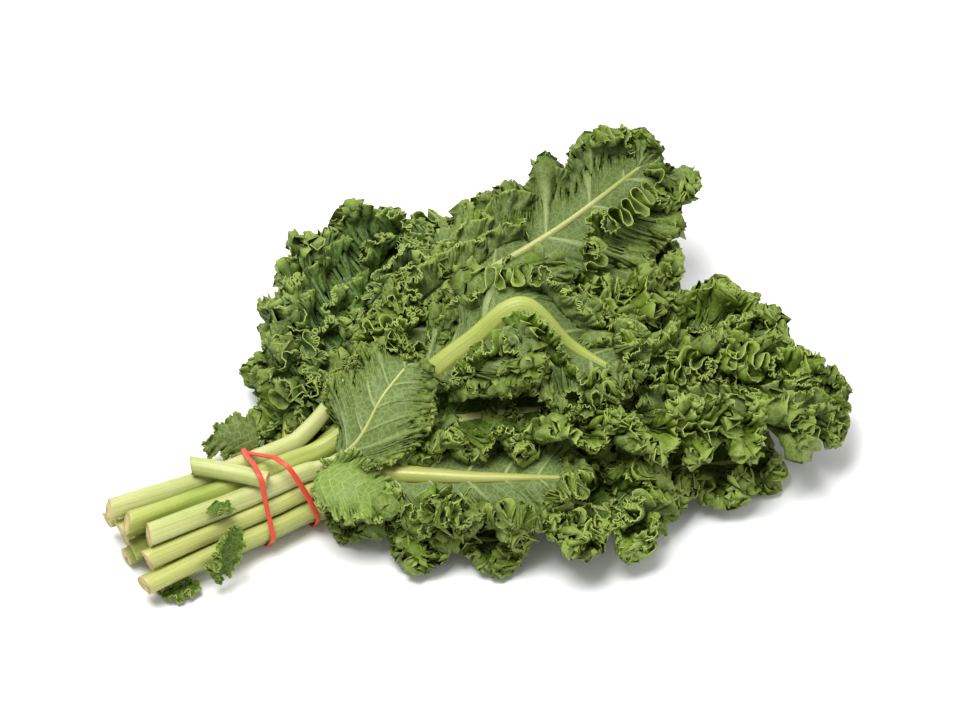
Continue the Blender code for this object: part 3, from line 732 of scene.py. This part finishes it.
def rubber_band_piece(skin):
    """The band: one loop wound twice round the stalks, its turns crossing once."""
    half = BAND_STATIONS // 2
    points, normals = girth(half)
    station = np.arange(BAND_STATIONS)
    share = station / half * math.pi
    x = BAND_X - BAND_PARTING * np.sin(share) + BAND_LEAN * (1.0 - np.cos(2.0 * share)) / 2
    lift = BAND_LIFT * np.cos(share)
    turn = station % half
    lifted = points[turn] + normals[turn] * lift[:, None]
    centre = np.stack((x, lifted[:, 0], lifted[:, 1]), axis=1)
    heading = unit(np.roll(centre, -1, axis=0) - np.roll(centre, 1, axis=0))
    outward = np.stack((np.zeros(BAND_STATIONS), normals[turn, 0], normals[turn, 1]), axis=1)
    across = unit(np.cross(heading, outward))
    outward = np.cross(across, heading)
    lean = 0.16 * np.sin(3.0 * share + 0.7) + 0.10 * np.sin(8.0 * share)
    across, outward = rolled(across, outward, lean)
    wide = BAND_WIDTH * (1.0 + 0.05 * np.sin(5.0 * share) + 0.03 * np.sin(11.0 * share))
    section = np.linspace(0.0, 2.0 * math.pi, BAND_SECTION + 1)[:-1]
    offset_wide, offset_thick = (
        np.sign(part) * np.abs(part) ** 0.45 / 2.0 for part in (np.cos(section), np.sin(section)))
    mesh, column, level, corner = grid_mesh("rubber_band_look", BAND_STATIONS, BAND_SECTION)
    k, c = column % BAND_STATIONS, level % BAND_SECTION
    place = centre[k] + across[k] * (wide[k] * offset_wide[c])[:, None]
    place = place + outward[k] * (BAND_THICKNESS * offset_thick[c])[:, None]
    mesh.vertices.foreach_set("co", place.ravel())
    set_map(mesh, "band_grain", column[corner] / BAND_STATIONS * 40.0, level[corner] / BAND_SECTION)
    bake_map(mesh, column, level, corner, BAND_STATIONS, BAND_SECTION, 6, 0.0, 1.0)
    joined([mesh], "rubber_band_look", (skin,), "rubber_band")


def scrap_piece(name, scrap, skins):
    """A small torn piece of leaf with a curled margin."""
    rng = np.random.default_rng(scrap.seed)
    start, middle, tip = (np.array(point) for point in (scrap.start, scrap.middle, scrap.tip))
    t = np.linspace(0.0, 1.0, 200)[:, None]
    line = start * (1 - t) * (1 - 2 * t) + middle * 4 * t * (1 - t) + tip * t * (2 * t - 1)
    length = lengths(line)
    width = scrap.half_width
    round_it, out, v, _, x, w, round_length = outline(
        length[-1], width, width, rng, SCRAP_LOBE_LENGTH, SCRAP_FIELD)
    across = unit(np.array(scrap.across, dtype=float))
    point = at_length(line, length, x)
    heading = heading_at(line, length, x, 0.001)
    up = unit(np.cross(heading, across))
    sign = np.where(round_it < 0.0, 1.0, -1.0)[:, None]
    cup = scrap.cup * w**2 / width
    sheet = point + across * (w * sign)[..., None] + up * cup[..., None]
    sheet = vein_ridges(sheet, v, out, 1.0, SCRAP_VEINS, SCRAP_VEIN_HEIGHT)
    sheet = ruffle(sheet, out, rng, scrap.fold, 1.2 * smoothstep((out - 0.45) / 0.45), 1.0)
    sheet = ruffle(sheet, out, rng, scrap.fold * SCRAP_CURL, 1.3 * smoothstep((out - 0.74) / 0.22), 1.0)
    columns = int(round_length * SCRAP_COLUMNS_PER_METRE / 16) * 16
    around = np.repeat(v[:, None], SCRAP_FIELD[1], axis=1)
    mesh = skin_mesh(name, sheet, up[:, 0], ROWS, columns, False, around, (2, 0.0, 1.0))
    joined([mesh], name + "_look", skins, name)


class Board:
    """Adds and wires nodes on one node tree."""

    def __init__(self, tree):
        self.tree = tree

    def add(self, kind, settings=None, **inputs):
        node = self.tree.nodes.new(kind)
        for key, value in (settings or {}).items():
            setattr(node, key, value)
        for key, value in inputs.items():
            self.feed(node.inputs[key.replace("_", " ")], value)
        return node

    def feed(self, socket, value):
        if isinstance(value, bpy.types.NodeSocket):
            self.tree.links.new(value, socket)
        else:
            socket.default_value = value

    def math(self, operation, *values, clamp=False):
        node = self.tree.nodes.new("ShaderNodeMath")
        node.operation = operation
        node.use_clamp = clamp
        for socket, value in zip(node.inputs, values):
            self.feed(socket, value)
        return node.outputs[0]

    def blend(self, share, first, second, way="MIX"):
        node = self.tree.nodes.new("ShaderNodeMix")
        node.data_type = "RGBA"
        node.blend_type = way
        for number, value in ((0, share), (6, first), (7, second)):
            self.feed(node.inputs[number], value)
        return node.outputs[2]

    def grey(self, value):
        return self.add("ShaderNodeCombineColor", Red=value, Green=value, Blue=value).outputs[0]

    def onto_one(self, value):
        return self.math("MINIMUM", self.math("MAXIMUM", value, 0.0), 1.0)

    def rising(self, value, start, slope):
        return self.math("MULTIPLY", self.math("SUBTRACT", value, start), slope, clamp=True)

    def place(self):
        return self.add("ShaderNodeTexCoord").outputs["Object"]

    def from_map(self, map_name):
        grain = self.add("ShaderNodeUVMap", {"uv_map": map_name}).outputs[0]
        return self.add("ShaderNodeSeparateXYZ", Vector=grain).outputs

    def noise(self, place, scale, detail, roughness=0.5):
        node = self.add("ShaderNodeTexNoise", Vector=place, Scale=scale, Detail=detail, Roughness=roughness)
        return node.outputs["Fac"]


def new_group(name, values, colours):
    """An empty pattern from a place, values and colours to a colour, gloss and relief."""
    tree = bpy.data.node_groups.new(name, "ShaderNodeTree")
    for way, kind, labels in (
        ("INPUT", "NodeSocketVector", ("Place",)),
        ("INPUT", "NodeSocketFloat", values),
        ("INPUT", "NodeSocketColor", colours),
        ("OUTPUT", "NodeSocketColor", ("Colour",)),
        ("OUTPUT", "NodeSocketFloat", ("Roughness", "Height")),
    ):
        for label in labels:
            tree.interface.new_socket(name=label, in_out=way, socket_type=kind)
    board = Board(tree)
    return tree, board, tree.nodes.new("NodeGroupInput").outputs, tree.nodes.new("NodeGroupOutput").inputs


def leaf_pattern():
    """Colour, gloss and relief of a kale blade: mottled, veined, darker inwards with painted shade of its
    hollows, paler towards the margin with painted light on its crests, and a painted highlight along the
    margin.
    """
    tree, board, given, result = new_group("leaf_pattern", ("Around", "Out"), ("Inner", "Margin", "Vein"))
    broad = board.noise(given["Place"], 17.0, 2.0)
    mottle = board.noise(given["Place"], 110.0, 3.0)
    fine = board.noise(given["Place"], 520.0, 2.0)
    cells = {"feature": "DISTANCE_TO_EDGE"}
    net = board.add("ShaderNodeTexVoronoi", cells, Vector=given["Place"], Scale=260.0)
    net = board.math("MULTIPLY", net.outputs["Distance"], 7.0, clamp=True)
    turn = board.math("FRACT", board.math("MULTIPLY_ADD", given["Around"], SIDE_VEINS, 0.25))
    away = board.math("ABSOLUTE", board.math("SUBTRACT", turn, 0.5))
    vein = board.math("SUBTRACT", 1.0, board.math("DIVIDE", away, 0.055), clamp=True)
    fading = board.math("SUBTRACT", 1.0, board.math("MULTIPLY", given["Out"], 1.35), clamp=True)
    vein = board.math("MULTIPLY", vein, fading)
    # painted light and shade: the colour runs from the inner colour, darkened as painted shade of the
    # hollows, to the margin colour, lightened as painted light on the crests; the mottle mixed in is the
    # blade's own
    share = board.math("POWER", given["Out"], 2.4)
    share = board.math("MULTIPLY_ADD", board.math("SUBTRACT", mottle, 0.5), 0.5, share)
    colour = board.blend(board.onto_one(share), given["Inner"], given["Margin"])
    # painted highlight: the last of the way out to the margin is lightened towards a pale green
    edge = board.rising(given["Out"], 0.93, 13.0)
    colour = board.blend(board.math("MULTIPLY", edge, 0.60), colour, (0.29, 0.37, 0.075, 1.0))
    net_share = board.math("MULTIPLY", board.math("SUBTRACT", 1.0, net), 0.28)
    colour = board.blend(net_share, colour, given["Vein"])
    colour = board.blend(board.math("MULTIPLY", vein, 0.85), colour, given["Vein"])
    tone = board.math("MULTIPLY_ADD", broad, 0.75, 0.62)
    tone = board.math("MULTIPLY", tone, board.math("MULTIPLY_ADD", fine, 0.30, 0.85))
    colour = board.blend(1.0, colour, board.grey(tone), "MULTIPLY")
    board.feed(result["Colour"], colour)
    board.feed(result["Roughness"], board.math("MULTIPLY_ADD", fine, 0.24, 0.36))
    relief = board.math("MULTIPLY_ADD", vein, 0.8, board.math("MULTIPLY", net, 0.35))
    board.feed(result["Height"], board.math("MULTIPLY_ADD", fine, 0.25, relief))
    return tree


def new_skin(name):
    """A new material, the board to fill it, and its shader's inputs."""
    skin = bpy.data.materials.new(name)
    skin.use_nodes = True
    return skin, Board(skin.node_tree), skin.node_tree.nodes["Principled BSDF"].inputs


def finish_skin(board, shader, colour, roughness, relief, strength, depth):
    """Give a shader its colour, roughness and relief."""
    board.feed(shader["Base Color"], colour)
    board.feed(shader["Roughness"], roughness)
    bump = board.add("ShaderNodeBump", Strength=strength, Distance=depth, Height=relief)
    board.feed(shader["Normal"], bump.outputs["Normal"])


def leaf_skin(name, pattern, inner, margin, vein):
    """A leaf material from the shared pattern."""
    skin, board, shader = new_skin(name)
    around, out, _ = board.from_map("leaf_grain")
    group = board.add("ShaderNodeGroup", {"node_tree": pattern}, Place=board.place(), Around=around, Out=out,
                      Inner=(*inner, 1.0), Margin=(*margin, 1.0), Vein=(*vein, 1.0))
    finish_skin(board, shader, *group.outputs, 0.45, 0.0006)
    shader["Specular IOR Level"].default_value = 0.16
    return skin


def stalk_pattern():
    """Colour, gloss and relief of a stalk: streaks along it, and a dry tan end."""
    tree, board, given, result = new_group("stalk_pattern", ("Along", "Turn"), ("Pale", "Green"))
    angle = board.math("MULTIPLY", given["Turn"], 2.0 * math.pi)
    round_it = board.add("ShaderNodeCombineXYZ", X=board.math("MULTIPLY", board.math("COSINE", angle), 3.2),
                         Y=board.math("MULTIPLY", board.math("SINE", angle), 3.2),
                         Z=board.math("MULTIPLY", given["Along"], 0.9)).outputs[0]
    streak = board.noise(round_it, 1.6, 3.0, 0.65)
    broad = board.noise(given["Place"], 34.0, 2.0)
    speck = board.noise(given["Place"], 700.0, 2.0)
    share = board.math("MULTIPLY_ADD", board.math("SUBTRACT", streak, 0.5), 1.7, broad)
    colour = board.blend(board.onto_one(share), given["Pale"], given["Green"])
    dry = board.math("MULTIPLY_ADD", board.math("SUBTRACT", broad, 0.5), 0.12, 0.085)
    dry = board.rising(dry, given["Along"], 32.0)
    colour = board.blend(board.math("MULTIPLY", dry, 0.8), colour, (0.46, 0.37, 0.15, 1.0))
    tone = board.math("MULTIPLY_ADD", speck, 0.16, 0.92)
    board.feed(result["Colour"], board.blend(1.0, colour, board.grey(tone), "MULTIPLY"))
    board.feed(result["Roughness"], board.math("MULTIPLY_ADD", streak, 0.25, 0.26))
    board.feed(result["Height"], board.math("MULTIPLY_ADD", speck, 0.15, streak))
    return tree


def stalk_skin(name, pattern, pale, green):
    """A stalk material from the shared streaks."""
    skin, board, shader = new_skin(name)
    along, turn, _ = board.from_map("stalk_grain")
    group = board.add("ShaderNodeGroup", {"node_tree": pattern}, Place=board.place(), Along=along, Turn=turn,
                      Pale=(*pale, 1.0), Green=(*green, 1.0))
    finish_skin(board, shader, *group.outputs, 0.40, 0.0008)
    shader["Specular IOR Level"].default_value = 0.4
    return skin


def cut_face_skin():
    """The dry cut end of a stalk: a pale pith inside a darker ring, speckled and partly brown."""
    skin, board, shader = new_skin("kale_cut_face")
    along = board.from_map("stalk_grain")[0]
    place = board.place()
    speck = board.noise(place, 620.0, 3.0, 0.7)
    stain = board.noise(place, 190.0, 2.0)
    ring = board.rising(along, 0.036, 60.0)
    colour = board.blend(ring, (0.54, 0.43, 0.19, 1.0), (0.40, 0.34, 0.12, 1.0))
    brown = board.rising(stain, 0.52, 5.0)
    colour = board.blend(board.math("MULTIPLY", brown, 0.75), colour, (0.20, 0.12, 0.05, 1.0))
    tone = board.grey(board.math("MULTIPLY_ADD", speck, 0.7, 0.62))
    finish_skin(board, shader, board.blend(1.0, colour, tone, "MULTIPLY"), 0.75, speck, 0.8, 0.0006)
    return skin


def rubber_skin():
    """Red rubber with a satin surface and a faint bloom."""
    skin, board, shader = new_skin("red_rubber")
    place = board.place()
    bloom = board.noise(place, 260.0, 3.0)
    colour = board.blend(bloom, (0.66, 0.040, 0.010, 1.0), (0.50, 0.050, 0.020, 1.0))
    roughness = board.math("MULTIPLY_ADD", bloom, 0.3, 0.30)
    finish_skin(board, shader, colour, roughness, board.noise(place, 900.0, 2.0), 0.25, 0.0003)
    return skin


def stage_and_camera():
    """A pale floor, soft light and the camera."""
    bpy.ops.mesh.primitive_plane_add(size=8.0, location=(0.0, 0.0, -0.0002))
    floor = bpy.context.object
    floor.name = "floor"
    white, board, shader = new_skin("floor_white")
    board.feed(shader["Base Color"], (0.86, 0.86, 0.86, 1.0))
    board.feed(shader["Roughness"], 0.9)
    floor.data.materials.append(white)
    world = bpy.data.worlds.new("studio")
    bpy.context.scene.world = world
    world.use_nodes = True
    sky = world.node_tree.nodes["Background"].inputs
    sky["Color"].default_value = (1.0, 1.0, 1.0, 1.0)
    sky["Strength"].default_value = SKY_STRENGTH
    for name, place, size, energy in LAMPS:
        lamp = bpy.data.lights.new(name, "AREA")
        lamp.energy = energy
        lamp.size = size
        item = bpy.data.objects.new(name, lamp)
        item.location = place
        item.rotation_euler = (Vector((0.0, 0.0, 0.03)) - Vector(place)).to_track_quat("-Z", "Y").to_euler()
        bpy.context.scene.collection.objects.link(item)
    level, sine, cosine = math.cos(VIEW_TILT), math.sin(VIEW_TURN), math.cos(VIEW_TURN)
    away = Vector((sine * level, -cosine * level, math.sin(VIEW_TILT)))
    right = Vector((cosine, sine, 0.0))
    up = away.cross(right)
    target = right * VIEW_CENTRE[0] + up * VIEW_CENTRE[1]
    lens = bpy.data.cameras.new("camera")
    lens.lens = lens.sensor_width * VIEW_DISTANCE / VIEW_WIDTH
    lens.dof.use_dof = False
    lens.clip_start = 0.05
    camera = bpy.data.objects.new("camera", lens)
    camera.location = target + away * VIEW_DISTANCE
    camera.rotation_euler = (-away).to_track_quat("-Z", "Y").to_euler()
    bpy.context.scene.collection.objects.link(camera)
    bpy.context.scene.camera = camera
    bpy.context.scene.view_settings.view_transform = "Standard"


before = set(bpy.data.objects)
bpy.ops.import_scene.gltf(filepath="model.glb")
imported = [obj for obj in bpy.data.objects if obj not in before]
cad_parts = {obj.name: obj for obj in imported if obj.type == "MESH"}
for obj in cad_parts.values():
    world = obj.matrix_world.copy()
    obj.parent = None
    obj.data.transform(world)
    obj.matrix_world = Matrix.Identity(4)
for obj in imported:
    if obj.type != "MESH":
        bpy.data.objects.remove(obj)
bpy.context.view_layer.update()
stage_and_camera()
leaf_look = leaf_pattern()
stalk_look = stalk_pattern()
# each leaf material's first colour is the inner blade, darkened with painted shade of the hollows; its second
# is the margin, lightened with painted light on the crests
fresh_skins = (
    leaf_skin("kale_upper", leaf_look, (0.042, 0.084, 0.003), (0.122, 0.182, 0.014), VEIN),
    leaf_skin("kale_back", leaf_look, (0.098, 0.142, 0.036), (0.108, 0.158, 0.022), BACK_VEIN),
    # the thin rim along every margin: pale greens, a painted highlight on the light-struck edge; the dark and
    # pale leaves share it
    leaf_skin("kale_rim_painted_highlight", leaf_look, (0.24, 0.31, 0.07), (0.38, 0.46, 0.13), VEIN),
)
dark_skins = (
    leaf_skin("kale_upper_blue", leaf_look, (0.034, 0.076, 0.010), (0.092, 0.146, 0.024), VEIN),
    leaf_skin("kale_back_blue", leaf_look, (0.076, 0.118, 0.044), (0.092, 0.140, 0.036), VEIN),
    fresh_skins[2],
)
pale_skins = (
    leaf_skin("kale_upper_pale", leaf_look, (0.135, 0.205, 0.034), (0.165, 0.240, 0.044), (0.34, 0.41, 0.16)),
    fresh_skins[1],
    fresh_skins[2],
)
cut_face = cut_face_skin()
stalk_tones = (
    (stalk_skin("kale_stalk_yellow", stalk_look, (0.46, 0.45, 0.155), (0.28, 0.33, 0.055)), cut_face),
    (stalk_skin("kale_stalk_green", stalk_look, (0.39, 0.415, 0.105), (0.20, 0.275, 0.033)), cut_face),
    (stalk_skin("kale_stalk_pale", stalk_look, (0.48, 0.475, 0.205), (0.28, 0.345, 0.080)), cut_face),
)
for leaf_name, leaf_spec in LEAVES.items():
    skins = dark_skins if leaf_name in DARK_LEAVES else fresh_skins
    blade_piece(leaf_name, leaf_spec, LOOKS[leaf_name], skins)
    stalk_piece(leaf_name, leaf_spec, LOOKS[leaf_name], stalk_tones[leaf_spec.tone])
snapped_stalk_piece(stalk_tones[2])
rubber_band_piece(rubber_skin())
for scrap_name, scrap_spec in SCRAPS.items():
    scrap_piece(scrap_name, scrap_spec, pale_skins if scrap_name == "small_leaf" else fresh_skins)
